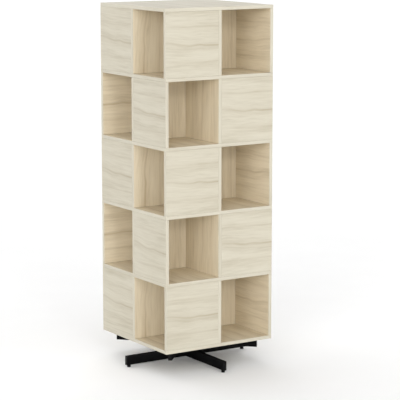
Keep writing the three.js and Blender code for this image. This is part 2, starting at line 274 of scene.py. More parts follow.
# The end caps are plugs of black moulded plastic, driven into the tube ends. A flange with a rounded
# rim and a faint crown covers the cut end, and fins on the plug behind it grip the bore.
CAP_CORNER = 1.4 * MM
CAP_FLANGE = 3.0 * MM
CAP_ROUND = 0.7 * MM
CAP_CROWN = 0.25 * MM
CAP_CROWN_STOPS = ((3.0 * MM, 0.35), (6.0 * MM, 0.08), (8.5 * MM, 0.0))
CAP_BACK_CHAMFER = 0.2 * MM
CAP_CORNER_STEPS = 6
CAP_ROUND_STEPS = 5
SHARPEST_CORNER = 0.05 * MM
PLUG_INSET = 2.8 * MM
PLUG_DEPTH = 6.5 * MM
PLUG_TAPER = 0.6 * MM
FIN_INSET = 2.3 * MM
FIN_COUNT = 3
FIN_FROM_TIP = 1.0 * MM
FIN_FROM_FLANGE = 1.2 * MM
FIN_ROOT = 0.5 * MM
FIN_CREST = 0.1 * MM


def rounded_loops(half_width, half_height, corner, insets, steps):
    """Rectangles with round corners, one for each inset: each corner is an arc about a centre that
    stays put, so its radius shrinks with the inset."""
    quarter = np.arange(4)[:, None] * pi / 2
    turn = (quarter + np.linspace(0, pi / 2, steps + 1)).ravel()
    sign_x = np.repeat([1, -1, -1, 1], steps + 1)
    sign_y = np.repeat([1, 1, -1, -1], steps + 1)
    insets = np.asarray(insets)[:, None]
    radius = np.maximum(corner - insets, SHARPEST_CORNER)
    x = sign_x * (half_width - insets - radius) + radius * np.cos(turn)
    y = sign_y * (half_height - insets - radius) + radius * np.sin(turn)
    return np.stack([x, y], -1)


def cap_profile():
    """Insets and distances behind the end face, from the inner end of the plug, over its fins, out to
    the flange, round its rim and in over the crowned face."""
    tip = CAP_FLANGE + PLUG_DEPTH
    profile = [(PLUG_INSET + PLUG_TAPER, tip)]
    for fin in np.linspace(tip - FIN_FROM_TIP, CAP_FLANGE + FIN_FROM_FLANGE, FIN_COUNT):
        profile.append((PLUG_INSET, fin + FIN_ROOT))
        profile.append((FIN_INSET, fin + FIN_CREST))
        profile.append((FIN_INSET, fin - FIN_CREST))
        profile.append((PLUG_INSET, fin - FIN_ROOT))
    profile.append((PLUG_INSET, CAP_FLANGE))
    profile.append((CAP_BACK_CHAMFER, CAP_FLANGE))
    profile.append((0.0, CAP_FLANGE - CAP_BACK_CHAMFER))
    for turn in np.linspace(0, pi / 2, CAP_ROUND_STEPS + 1):
        profile.append((CAP_ROUND * (1 - cos(turn)), CAP_CROWN + CAP_ROUND * (1 - sin(turn))))
    for inset, share in CAP_CROWN_STOPS:
        profile.append((inset, CAP_CROWN * share))
    return np.array(profile)


def end_cap(name, node, turn, body):
    """A cap at the outer end of its arm: loops of the profile carried along the arm, which points away
    from the axis at the given angle."""
    low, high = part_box(node)
    middle = (low.z + high.z) / 2
    half_height = (high.z - low.z) / 2
    profile = cap_profile()
    loops = rounded_loops(TUBE_HALF_WIDTH, half_height, CAP_CORNER, profile[:, 0], CAP_CORNER_STEPS)
    reach = max(abs(v) for corner in (low, high) for v in (corner.x, corner.y))
    diagonal = abs(sin(2 * turn)) > 0.5
    if diagonal:
        reach = reach * sqrt(2) - TUBE_HALF_WIDTH
    out = np.array([cos(turn), sin(turn), 0])
    flank = np.array([-sin(turn), cos(turn), 0])
    up = np.array([0, 0, 1.0])
    far = (reach - profile[:, 1])[:, None, None]
    points = far * out + loops[..., :1] * flank + (middle + loops[..., 1:]) * up
    mesh = mesh_of(name, [(points, loft_faces(len(profile), loops.shape[1]))])
    show(name, mesh, moulded_black, body, [node])


PLASTIC_BLACK = (0.003, 0.003, 0.0033)
PLASTIC_GREY = (0.006, 0.006, 0.0063)
PLASTIC_SCUFF = (0.02, 0.02, 0.02)
PLASTIC_TONES = [(0.35, PLASTIC_BLACK), (0.62, PLASTIC_GREY), (0.8, PLASTIC_SCUFF)]
PLASTIC_CLOUD_NOISE = (60.0, 4.0)
PLASTIC_GLOSS = (0.2, 0.32)
SPARK_GRAIN_NOISE = (1800.0, 2.0)
SPARK_GRAIN_STRENGTH = 0.2
SPARK_GRAIN_HEIGHT = 0.1 * MM


def moulded_plastic():
    """Black moulded plastic: spark-eroded grain as fine bump, and slow noise in the gloss, with pale
    scuffs where it peaks."""
    material, tree, shader = new_surface("moulded_black_plastic", Specular_IOR_Level=0.1)
    place = object_place(tree)
    grain = noise(tree, place, *SPARK_GRAIN_NOISE)
    cloud = noise(tree, place, *PLASTIC_CLOUD_NOISE)
    scuffed = ramp(tree, cloud, PLASTIC_TONES)
    gloss = map_range(tree, cloud, 0.0, 1.0, *PLASTIC_GLOSS)
    finish_surface(tree, shader, scuffed, gloss, grain, SPARK_GRAIN_STRENGTH, SPARK_GRAIN_HEIGHT)
    return material


moulded_black = moulded_plastic()
LOWER_ARMS = {"front": -pi / 2, "right": 0.0, "back": pi / 2, "left": pi}
for arm, turn in LOWER_ARMS.items():
    end_cap(f"lower_cap_{arm}_moulded", f"lower_cap_{arm}", turn, "base")

# The levelling glides are round feet of black plastic, moulded on to a zinc-plated threaded stem. The
# foot has flutes for the fingers, and the stem screws into the bush in the floor of the arm.
FOOT_ROUND = 1.5 * MM
FOOT_TOP = 11.7 * MM
FOOT_ARC_POINTS = 6
FOOT_STEPS = 144
FOOT_RIM_LEVELS = np.linspace(3.0, 8.5, 4) * MM
SOLE_HOLLOW = 0.6 * MM
SOLE_HOLLOW_SHARES = (0.55, 0.62)
COLLAR_WIDTH = 1.6 * MM
COLLAR_SINK = 0.4 * MM
FLUTES = 24
FLUTE_DEPTH = 0.45 * MM
FLUTE_BOTTOM = 1.6 * MM
FLUTE_TOP = 10.0 * MM
FLUTE_FADE = 1.4 * MM
FLUTE_SKIN = 0.1
STEM_RADIUS = 4.0 * MM
STEM_PITCH = 1.25 * MM
STEM_STEPS = 32
STEM_SUNK = 1.0 * MM
THREAD_ROWS = 8
THREAD_SHARE = 0.54


def carried_round(profile, steps):
    """A profile of radius and height pairs carried round the Z axis, as a grid of radii and heights and
    the angles of its columns."""
    profile = np.asarray(profile, float)
    turn = np.arange(steps) * 2 * pi / steps
    radius = np.repeat(profile[:, :1], steps, axis=1)
    height = np.repeat(profile[:, 1:], steps, axis=1)
    return radius, height, turn


def round_points(radius, height, turn, centre=(0.0, 0.0)):
    """Points from grids of radius and height and the angles of the columns, about an upright axis."""
    x = centre[0] + radius * np.cos(turn)
    y = centre[1] + radius * np.sin(turn)
    return np.stack([x, y, height], -1)


def foot_profile(radius):
    """A hollow under the sole, a rounded sole, an upright rim, a rounded shoulder and a flat top that
    is sunk a little round the stem."""
    arc = np.linspace(0, pi / 2, FOOT_ARC_POINTS)
    inner, outer = (radius * share for share in SOLE_HOLLOW_SHARES)
    hollow = [(0, SOLE_HOLLOW), (inner, SOLE_HOLLOW), (outer, 0)]
    sole_radius = radius - FOOT_ROUND + FOOT_ROUND * np.sin(arc)
    sole = np.stack([sole_radius, FOOT_ROUND * (1 - np.cos(arc))], -1)
    rim = np.stack([np.full(len(FOOT_RIM_LEVELS), radius), FOOT_RIM_LEVELS], -1)
    shoulder_radius = radius - FOOT_ROUND * (1 - np.cos(arc))
    shoulder = np.stack([shoulder_radius, FOOT_TOP - FOOT_ROUND * (1 - np.sin(arc))], -1)
    edge, seat = STEM_RADIUS + COLLAR_WIDTH, FOOT_TOP - COLLAR_SINK
    collar = [(edge, FOOT_TOP), (edge - COLLAR_SINK, seat), (0, seat)]
    return np.concatenate([hollow, sole, rim, shoulder, collar])


def glide_foot(centre, radius):
    """The foot's radius dips by a raised cosine of its angle, flute by flute, and the dip fades to
    nothing towards the sole and the shoulder."""
    grid, height, turn = carried_round(foot_profile(radius), FOOT_STEPS)
    rise = np.clip((height - FLUTE_BOTTOM) / FLUTE_FADE, 0, 1)
    fall = np.clip((FLUTE_TOP - height) / FLUTE_FADE, 0, 1)
    outside = np.clip((grid / radius - 1 + FLUTE_SKIN) / FLUTE_SKIN, 0, 1)
    dip = FLUTE_DEPTH * (1 + np.cos(FLUTES * turn)) / 2
    grid = grid - dip * rise * fall * outside
    points = round_points(grid, height, turn, centre)
    return points, loft_faces(*grid.shape)


def threaded_rod(radius, pitch, bottom, top, steps, centre=(0.0, 0.0)):
    """A rod whose radius is cut by a triangle wave of height over pitch less turn, which is a screw
    thread. The cut fades out at both ends, and a chamfer closes them."""
    depth = THREAD_SHARE * pitch
    rows = int((top - bottom) / pitch * THREAD_ROWS)
    level = np.linspace(bottom + depth, top - depth, rows)[:, None]
    turn = np.arange(steps) * 2 * pi / steps
    phase = (level / pitch - turn / (2 * pi)) % 1.0
    rise = np.clip((level - bottom - depth) / pitch, 0, 1)
    fall = np.clip((top - depth - level) / pitch, 0, 1)
    grid = radius - depth * (1 - np.abs(2 * phase - 1)) * rise * fall
    ends = np.full((1, steps), radius - depth)
    axis = np.zeros((1, steps))
    grid = np.concatenate([axis, ends, grid, ends, axis])
    level = np.concatenate([[[bottom], [bottom]], level, [[top], [top]]]) + np.zeros((1, steps))
    return round_points(grid, level, turn, centre), loft_faces(*grid.shape)


TURNING_SQUEEZE = (40.0, 40.0, 2200.0)
TURNING_NOISE = (1.0, 3.0)
TURNING_STRENGTH = 0.15
TURNING_HEIGHT = 0.05 * MM
STEEL_CLOUD_NOISE = (90.0, 3.0)
STEEL_DULL_SHARE = 0.72
STEEL_DULL_PLACE, STEEL_BRIGHT_PLACE = 0.3, 0.7
STEEL_GLOSS_BELOW, STEEL_GLOSS_ABOVE = 0.08, 0.1
ZINC_TINT = (0.62, 0.62, 0.6)
ZINC_ROUGHNESS = 0.34


def plated_steel(name, tint, roughness):
    """Bright steel: turning marks in the gloss and the bump, as fine noise squeezed along Z, and slow
    noise in the tint."""
    material, tree, shader = new_surface(name, Metallic=1.0)
    place = object_place(tree)
    squeezed = add_node(tree, "ShaderNodeMapping", {"Vector": place, "Scale": TURNING_SQUEEZE})
    marks = noise(tree, squeezed.outputs[0], *TURNING_NOISE)
    cloud = noise(tree, place, *STEEL_CLOUD_NOISE)
    dull = tuple(STEEL_DULL_SHARE * channel for channel in tint)
    colour = ramp(tree, cloud, [(STEEL_DULL_PLACE, dull), (STEEL_BRIGHT_PLACE, tint)])
    low, high = roughness - STEEL_GLOSS_BELOW, roughness + STEEL_GLOSS_ABOVE
    gloss = map_range(tree, marks, 0.0, 1.0, low, high)
    finish_surface(tree, shader, colour, gloss, marks, TURNING_STRENGTH, TURNING_HEIGHT)
    return material


zinc = plated_steel("zinc_plated_steel", ZINC_TINT, ZINC_ROUGHNESS)
for arm in LOWER_ARMS:
    low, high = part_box(f"glide_{arm}")
    centre = ((low.x + high.x) / 2, (low.y + high.y) / 2)
    foot = mesh_of(f"glide_{arm}_foot", [glide_foot(centre, (high.x - low.x) / 2)])
    show(f"glide_{arm}_foot", foot, moulded_black, f"glide_{arm}", [f"glide_{arm}"])
    rod = threaded_rod(STEM_RADIUS, STEM_PITCH, FOOT_TOP - STEM_SUNK, high.z, STEM_STEPS, centre)
    stem = mesh_of(f"glide_{arm}_stem", [rod])
    show(f"glide_{arm}_stem", stem, zinc, f"glide_{arm}")

# The bearing is a pair of turned and ground steel races with balls between them. The lower race lies
# on the bearing plate of the lower cross with its track upwards, and stays still.
TRACK_RADIUS = 85.0 * MM
BALL_RADIUS = 4.0 * MM
TRACK_CLEARANCE = 0.4 * MM
RACE_CHAMFER = 0.5 * MM
RACE_STEPS = 144
TRACK_ARC_STEPS = 12
GROUND_TINT = (0.66, 0.66, 0.67)
GROUND_ROUGHNESS = 0.22
BALL_LEVEL = (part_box("bearing_lower_race")[0].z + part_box("bearing_upper_race")[1].z) / 2


def race_ring(node):
    """A flat ring with chamfered edges, carried round the axis, and a track of circular section about
    the ball centres sunk in the face that looks at them."""
    low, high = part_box(node)
    side = 1 if low.z > BALL_LEVEL else -1
    face = abs((low.z if side > 0 else high.z) - BALL_LEVEL)
    back = abs((high.z if side > 0 else low.z) - BALL_LEVEL)
    outer = high.x
    inner = 2 * TRACK_RADIUS - outer
    groove = BALL_RADIUS + TRACK_CLEARANCE
    lip = np.arcsin(face / groove)
    arc = np.linspace(lip, pi - lip, TRACK_ARC_STEPS + 1)
    track = np.stack([TRACK_RADIUS + groove * np.cos(arc), groove * np.sin(arc)], -1)
    c = RACE_CHAMFER
    outside = [(outer - c, back), (outer, back - c), (outer, face + c), (outer - c, face)]
    inside = [(inner + c, face), (inner, face + c), (inner, back - c), (inner + c, back)]
    profile = np.concatenate([outside, track, inside, outside[:1]])
    if side > 0:
        profile = profile[::-1]
    grid, height, turn = carried_round(profile, RACE_STEPS)
    points = round_points(grid, BALL_LEVEL + side * height, turn)
    return points, loft_faces(*grid.shape, ends=False)


ground_steel = plated_steel("ground_bearing_steel", GROUND_TINT, GROUND_ROUGHNESS)
lower_race = mesh_of("bearing_lower_race_ground", [race_ring("bearing_lower_race")])
show("bearing_lower_race_ground", lower_race, ground_steel, "base",
     ["bearing_lower_race"])

# The balls roll in a pressed steel cage, a thin ring that keeps them evenly apart as the column turns.
# Sixteen hardened balls run in the track, and the cage floats at their equator.
BALL_COUNT = 16
BALL_COLUMNS = 24
BALL_ROWS = 13
CAGE_HALF_HEIGHT = 0.8 * MM
CAGE_LIP = 3.0 * MM
CAGE_ROUND = 0.3 * MM
CAGE_ROUND_STEPS = 3


def bearing_ball(angle):
    """A sphere about a point of the track: latitude by longitude."""
    latitude = np.linspace(-pi / 2, pi / 2, BALL_ROWS)
    grid = np.repeat(BALL_RADIUS * np.cos(latitude)[:, None], BALL_COLUMNS, axis=1)
    height = np.repeat(BALL_LEVEL + BALL_RADIUS * np.sin(latitude)[:, None], BALL_COLUMNS, axis=1)
    longitude = np.arange(BALL_COLUMNS) * 2 * pi / BALL_COLUMNS
    centre = (TRACK_RADIUS * cos(angle), TRACK_RADIUS * sin(angle))
    return round_points(grid, height, longitude, centre), loft_faces(BALL_ROWS, BALL_COLUMNS)


def cage_ring():
    """A flat ring of rounded rectangular section carried round the axis."""
    half_width = BALL_RADIUS + CAGE_LIP
    section = rounded_loops(half_width, CAGE_HALF_HEIGHT, CAGE_ROUND, [0.0], CAGE_ROUND_STEPS)[0]
    closed = np.concatenate([section, section[:1]])
    grid, height, turn = carried_round(closed + [TRACK_RADIUS, BALL_LEVEL], RACE_STEPS)
    return round_points(grid, height, turn), loft_faces(*grid.shape, ends=False)


cage = mesh_of("ball_cage_ring", [cage_ring()])
show("ball_cage_ring", cage, zinc, "ball_cage", ["ball_cage"])
ball_skins = [bearing_ball(2 * pi * ball / BALL_COUNT) for ball in range(BALL_COUNT)]
balls = mesh_of("ball_cage_balls", ball_skins)
show("ball_cage_balls", balls, ground_steel, "ball_cage")

# The upper race is a second ring of the same ground steel, laid on the balls with its track downwards.
# The bearing plate of the upper cross rests on it, and it turns with the column.
upper_race = mesh_of("bearing_upper_race_ground", [race_ring("bearing_upper_race")])
show("bearing_upper_race_ground", upper_race, ground_steel, "column",
     ["bearing_upper_race"])

# The upper cross is a like weldment, turned to the corners of the body, with its bearing plate under
# the crossing. Its arms carry the bottom board, and their ends have the same moulded caps.
UPPER_ARMS = {
    "front_right": -pi / 4,
    "back_right": pi / 4,
    "back_left": 3 * pi / 4,
    "front_left": -3 * pi / 4,
}
UPPER_LOW, UPPER_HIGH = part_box("upper_cap_front_right")

upper_cross = coated_copy("upper_cross_coated", "upper_cross")
show("upper_cross_coated", upper_cross, black_coat, "column", ["upper_cross"])
weld_low, weld_high = UPPER_LOW.z + BEAD_RADIUS, UPPER_HIGH.z - BEAD_RADIUS
upper_welds = cross_welds(pi / 4, weld_low, weld_high, UPPER_LOW.z + BEAD_RADIUS / 2)
upper_beads = mesh_of("upper_cross_welds", upper_welds)
show("upper_cross_welds", upper_beads, black_coat, "column")
for arm, turn in UPPER_ARMS.items():
    end_cap(f"upper_cap_{arm}_moulded", f"upper_cap_{arm}", turn, "column")

# The pivot bolt drops through both hubs and keeps the crosses from lifting apart. Its hexagon head and
# its nut are forged, chamfered at the corners and zinc plated, and its thread is rolled.
BOLT_RADIUS = 5.0 * MM
BOLT_PITCH = 1.5 * MM
HEX_STEPS = 96
HEX_CHAMFER = 0.07
HEX_CONE_START = 0.96
HEX_CONE_SLOPE = sqrt(3)
HEX_ROWS = 5
NUT_BORE = 5.3 * MM


def hexagon_grid(flats, bottom, top, chamfer_bottom, chamfer_top):
    """Radius over turn and height of a hexagon bar: the hexagon's own radius, half the flats over the
    cosine of the turn from the nearest flat, limited by a cone at the chamfered ends."""
    turn = np.arange(HEX_STEPS) * 2 * pi / HEX_STEPS
    from_flat = (turn + pi / 6) % (pi / 3) - pi / 6
    hexagon = flats / 2 / np.cos(from_flat)
    depth = np.linspace(0, 2 * HEX_CHAMFER * flats, HEX_ROWS)
    cone = flats / 2 * HEX_CONE_START + depth * HEX_CONE_SLOPE
    plain = np.repeat(hexagon[None], HEX_ROWS, axis=0)
    lower = np.minimum(plain, cone[:, None]) if chamfer_bottom else plain
    upper = np.minimum(plain, cone[::-1, None]) if chamfer_top else plain
    grid = np.concatenate([lower, upper])
    level = np.concatenate([bottom + depth, top - depth[::-1]])
    return grid, np.repeat(level[:, None], HEX_STEPS, axis=1), turn


def hexagon_head(flats, bottom, top):
    """A solid hexagon head with a chamfered top, closed at both ends on the axis."""
    grid, level, turn = hexagon_grid(flats, bottom, top, False, True)
    axis = np.zeros((1, HEX_STEPS))
    grid = np.concatenate([axis, grid, axis])
    level = np.concatenate([level[:1], level, level[-1:]])
    return round_points(grid, level, turn), loft_faces(*grid.shape)


def hexagon_nut(flats, bottom, top):
    """A hexagon nut chamfered at both ends, closed through a plain bore."""
    grid, level, turn = hexagon_grid(flats, bottom, top, True, True)
    bore = np.full((1, HEX_STEPS), NUT_BORE)
    grid = np.concatenate([bore, grid, bore, bore])
    level = np.concatenate([level[:1], level, level[-1:], level[:1]])
    return round_points(grid, level, turn), loft_faces(*grid.shape, ends=False)


nut_low, nut_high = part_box("pivot_nut")
bolt_low, bolt_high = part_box("pivot_bolt")
HEX_FLATS = min(nut_high.x - nut_low.x, nut_high.y - nut_low.y)
HEAD_HEIGHT = 6.4 * MM
HEAD_OVERLAP = 0.5 * MM
head_seat = bolt_high.z - HEAD_HEIGHT
head = hexagon_head(HEX_FLATS, head_seat, bolt_high.z)
shank = threaded_rod(BOLT_RADIUS, BOLT_PITCH, bolt_low.z, head_seat + HEAD_OVERLAP, STEM_STEPS)
bolt = mesh_of("pivot_bolt_threaded", [head, shank])
show("pivot_bolt_threaded", bolt, zinc, "column", ["pivot_bolt"])
nut = mesh_of("pivot_nut_chamfered", [hexagon_nut(HEX_FLATS, nut_low.z, nut_high.z)])
show("pivot_nut_chamfered", nut, zinc, "column", ["pivot_nut"])

# Eight wood screws go up through the tops of the upper arms into the bottom board, two to an arm. Each
# has a pan head with a cross recess, which a driver reaches through a hole in the floor of the tube.
SCREW_RADIUS = 2.5 * MM
SCREW_HEAD_RADIUS = 4.6 * MM
SCREW_HEAD_HEIGHT = 2.8 * MM
SCREW_LENGTH = 13.0 * MM
SCREW_PITCH = 2.0 * MM
SCREW_PLACES = (140.2 * MM, 319.7 * MM)
SCREW_STEPS = 32
SCREW_THREAD_STEPS = 20
SCREW_ARC_POINTS = 10
SCREW_SEAT_GAP = 0.2 * MM
SCREW_OVERLAP = 0.3 * MM
RECESS_DEPTH = 1.6 * MM
RECESS_CORE = 0.2
RECESS_REACH = 0.62
RECESS_EDGE = 1.2
TUBE_WALL = 2.0 * MM


def pan_head(centre, seat):
    """A domed head under its seat: a quarter ellipse of radius over height, with a recess that is deep
    at the axis and, further out, only where the fourth power of a cosine of twice the turn peaks: a
    cross."""
    arc = np.linspace(0, pi / 2, SCREW_ARC_POINTS)[:, None]
    turn = np.arange(SCREW_STEPS) * 2 * pi / SCREW_STEPS
    grid = SCREW_HEAD_RADIUS * np.sin(arc) + np.zeros((1, SCREW_STEPS))
    dome = SCREW_HEAD_HEIGHT * np.cos(arc)
    spread = np.clip(grid / (RECESS_CORE * SCREW_HEAD_RADIUS), 0, 1)
    cross = 1 - spread * (1 - np.cos(2 * turn) ** 4)
    fade = np.clip(RECESS_EDGE - grid / (RECESS_REACH * SCREW_HEAD_RADIUS), 0, 1)
    height = seat - dome + RECESS_DEPTH * cross * fade
    grid = np.concatenate([grid, np.zeros((1, SCREW_STEPS))])
    height = np.concatenate([height, np.full((1, SCREW_STEPS), seat)])
    return round_points(grid, height, turn, centre), loft_faces(*grid.shape)


screw_seat = UPPER_HIGH.z - TUBE_WALL - SCREW_SEAT_GAP
thread_ends = (screw_seat - SCREW_OVERLAP, screw_seat + SCREW_LENGTH)
screw_skins = []
for turn in UPPER_ARMS.values():
    for along in SCREW_PLACES:
        centre = (along * cos(turn), along * sin(turn))
        screw_skins.append(pan_head(centre, screw_seat))
        thread = threaded_rod(SCREW_RADIUS, SCREW_PITCH, *thread_ends, SCREW_THREAD_STEPS, centre)
        screw_skins.append(thread)
show("frame_screws", mesh_of("frame_screws", screw_skins), zinc, "column")

# The boards are chipboard faced on both sides with a printed pale wood decor. Every edge has a band of
# the same decor, glued on and trimmed to a small radius, with a hairline seam where it meets the face.
# The six level boards lie under, between and on the tiers, with the grain from front to back.
BAND = 1.0 * MM
SEAM_WIDTH = 0.16 * MM
SEAM_DEPTH = 0.12 * MM
BAND_ARC_STEPS = 4
BOARD_CORNER = 1.0 * MM
BOARD_CORNER_STEPS = 3
EDGE_MAP_START = 1.0
FACE, BAND_FLAT, ARRIS, SEAM = range(4)


def rim_profile(half_thickness):
    """Insets, heights and zones of the rim, from one face to the other: the face's own edge, the seam,
    a quarter circle, the flat of the band, and the same again in reverse."""
    arc = np.linspace(0, pi / 2, BAND_ARC_STEPS + 1)
    seam_inset = [BAND + SEAM_WIDTH, BAND + SEAM_WIDTH / 2]
    seam_height = [half_thickness, half_thickness - SEAM_DEPTH]
    inset = np.concatenate([seam_inset, BAND * (1 - np.sin(arc))])
    height = np.concatenate([seam_height, half_thickness - BAND * (1 - np.cos(arc))])
    zones = [SEAM, SEAM] + [ARRIS] * BAND_ARC_STEPS
    inset = np.concatenate([inset, inset[::-1]])
    height = np.concatenate([height, -height[::-1]])
    return inset, height, np.array(zones + [BAND_FLAT] + zones[::-1])


def banded_board(node, grain, across, number, painted_bounce_sides, way, line=0.0):
    """A board in the box of its CAD node. Rounded rectangles, inset and raised by the rim profile, are
    lofted round the edge and closed by the two faces. The map holds the distance along the grain from
    the middle of the board and across it from its darkest line, and on the rim the distance along the
    edge. The way is the sign of the axis along which the decor reads, the line is where the darkest
    line lies from the middle, and the painted bounce sides are the shares, on the low and on the high
    face, of a painted bounce light: a lighter, warmer tint that stands in for light bouncing between
    the boards inside the compartments."""
    low, high = (np.array(corner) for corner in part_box(node))
    through = 3 - grain - across
    half = (high - low) / 2
    inset, height, zones = rim_profile(half[through])
    loops = rounded_loops(half[grain], half[across], BOARD_CORNER, inset, BOARD_CORNER_STEPS)
    count = loops.shape[1]
    raised = np.broadcast_to(height[:, None, None], (*loops.shape[:2], 1))
    local = np.concatenate([loops, raised], -1).reshape(-1, 3)
    points = np.empty_like(local)
    points[:, [grain, across, through]] = local
    points += (low + high) / 2
    rim, first_end, last_end = loft_faces(len(inset), count)
    handed = (across - grain) % 3 == 1
    if handed:
        rim, first_end, last_end = rim[:, ::-1], first_end[:, ::-1], last_end[:, ::-1]
    side = np.arange(count) // (BOARD_CORNER_STEPS + 1)
    side = np.tile(side, len(inset) - 1)
    rim_local = local[rim]
    along = np.where((side % 2 == 0)[:, None], rim_local[..., 0], rim_local[..., 1])
    beside = rim_local[..., 2] + EDGE_MAP_START + side[:, None]
    rim_map = np.stack([along, beside], -1).reshape(-1, 2)
    faces_map = local[[*first_end[0], *last_end[0]], :2] - [0, line]
    grain_map = np.concatenate([rim_map, faces_map]) * [way, 1]
    mesh = bpy.data.meshes.new(f"{node}_banded")
    faces = [*rim.tolist(), *first_end.tolist(), *last_end.tolist()]
    mesh.from_pydata(points.tolist(), [], faces)
    mesh.uv_layers.new(name="grain").uv.foreach_set("vector", grain_map.ravel())
    zone = np.concatenate([np.repeat(zones, count), [FACE, FACE]])
    numbers = {
        "band": zone == BAND_FLAT,
        "arris": zone == ARRIS,
        "seam": zone == SEAM,
        "board_number": np.full(len(zone), number),
        # Share of the painted bounce light on each face: a lighter, warmer tint inside the
        # compartments.
        "painted_bounce_light": np.concatenate([np.zeros(len(rim)), painted_bounce_sides[::-1]]),
    }
    for name, values in numbers.items():
        mesh.attributes.new(name, "FLOAT", "FACE").data.foreach_set("value", values.astype(float))
    show(f"{node}_banded", mesh, decor, "column", [node])


def attribute(tree, name):
    """The number that a mesh holds under a name."""
    return add_node(tree, "ShaderNodeAttribute", attribute_name=name).outputs["Fac"]


BOARD_STRIDE = 3.7


def stretched_noise(tree, along, across, number, along_scale, across_scale, detail, roughness):
    """Noise that is drawn out along the grain, with a pattern of its own for each board."""
    place = add_node(tree, "ShaderNodeCombineXYZ", {
        0: arithmetic(tree, "MULTIPLY", along, along_scale),
        1: arithmetic(tree, "MULTIPLY", across, across_scale),
    })
    drawn = add_node(tree, "ShaderNodeTexNoise", {
        "Vector": place.outputs[0],
        "W": arithmetic(tree, "MULTIPLY", number, BOARD_STRIDE),
        "Scale": 1.0,
        "Detail": detail,
        "Roughness": roughness,
    }, noise_dimensions="4D")
    return drawn.outputs["Fac"]


def bell(tree, value, centre, width):
    """The exponential of minus the square of the distance from a centre over a width."""
    away = arithmetic(tree, "DIVIDE", arithmetic(tree, "SUBTRACT", value, centre), width)
    square = arithmetic(tree, "MULTIPLY", away, away)
    return arithmetic(tree, "EXPONENT", arithmetic(tree, "MULTIPLY", square, -1.0))


DECOR_DARK = (0.392, 0.351, 0.261)
DECOR_MIDDLE = (0.528, 0.490, 0.394)
DECOR_LIGHT = (0.590, 0.560, 0.460)
DECOR_TONES = [(0.31, DECOR_DARK), (0.69, DECOR_LIGHT), (0.5, DECOR_MIDDLE)]
DECOR_GLOSS = (0.46, 0.62)
# Painted bounce light: faces inside the compartments are tinted lighter and warmer, in place of the
# light that bounces between the boards.
PAINTED_BOUNCE_TINT = (1.28, 1.2, 1.105, 1)

# Noises of the ground: scale along the grain, scale across it, detail and roughness.
WANDER_NOISE = (3.5, 9.0, 1.0, 0.5)
BANDS_NOISE = (2.0, 22.0, 2.0, 0.5)
FIGURE_NOISE = (7.0, 120.0, 4.0, 0.6)
FIBRES_NOISE = (14.0, 520.0, 3.0, 0.5)
NOISE_MIDDLE = 0.5
BANDS_SHARE = 0.42
FIGURE_SHARE = 0.38
FIBRES_SHARE = 0.2
FIBRES_STRENGTH = 0.12
FIBRES_HEIGHT = 0.2 * MM

# Dark lines of the grain, in metres from the middle of the board and from its darkest line.
STREAK = (0.306, 0.246, 0.157, 1)
STREAK_SPACING = 0.09
STREAK_WIDTH = 0.0065
STREAK_SHADE_PLACE = -0.010
STREAK_SHADE_WIDTH = 0.027
STREAK_SHADE_SHARE = 0.42
STREAK_DEPTHS = (0.34, 0.68)
DARKEST_REACH = 0.03
FADE_PLACES = (-0.16, 0.16)
FADE_SHARES = (0.4, 1.0)
FIGURE_HEIGHTS = (0.2, 0.7)
FIGURE_FADES = (1.2, 0.7)
SINK_PLACES = (-0.15, -0.01)
SINK_HEIGHTS = (-0.008, 0.008)
SWELL_PLACE = 0.04
SWELL_LENGTH = 0.03
SWELL_HEIGHT = -0.004
BEND_REACH = 0.07
WANDER_WIDTH = 0.02

BAND_LIGHT = (0.557, 0.524, 0.430, 1)
BAND_LIGHT_SHARE = 0.2
ARRIS_RUB_SHARE = 0.6
SEAM_DARK = (0.30, 0.25, 0.17, 1)
SEAM_DARK_SHARE = 0.7


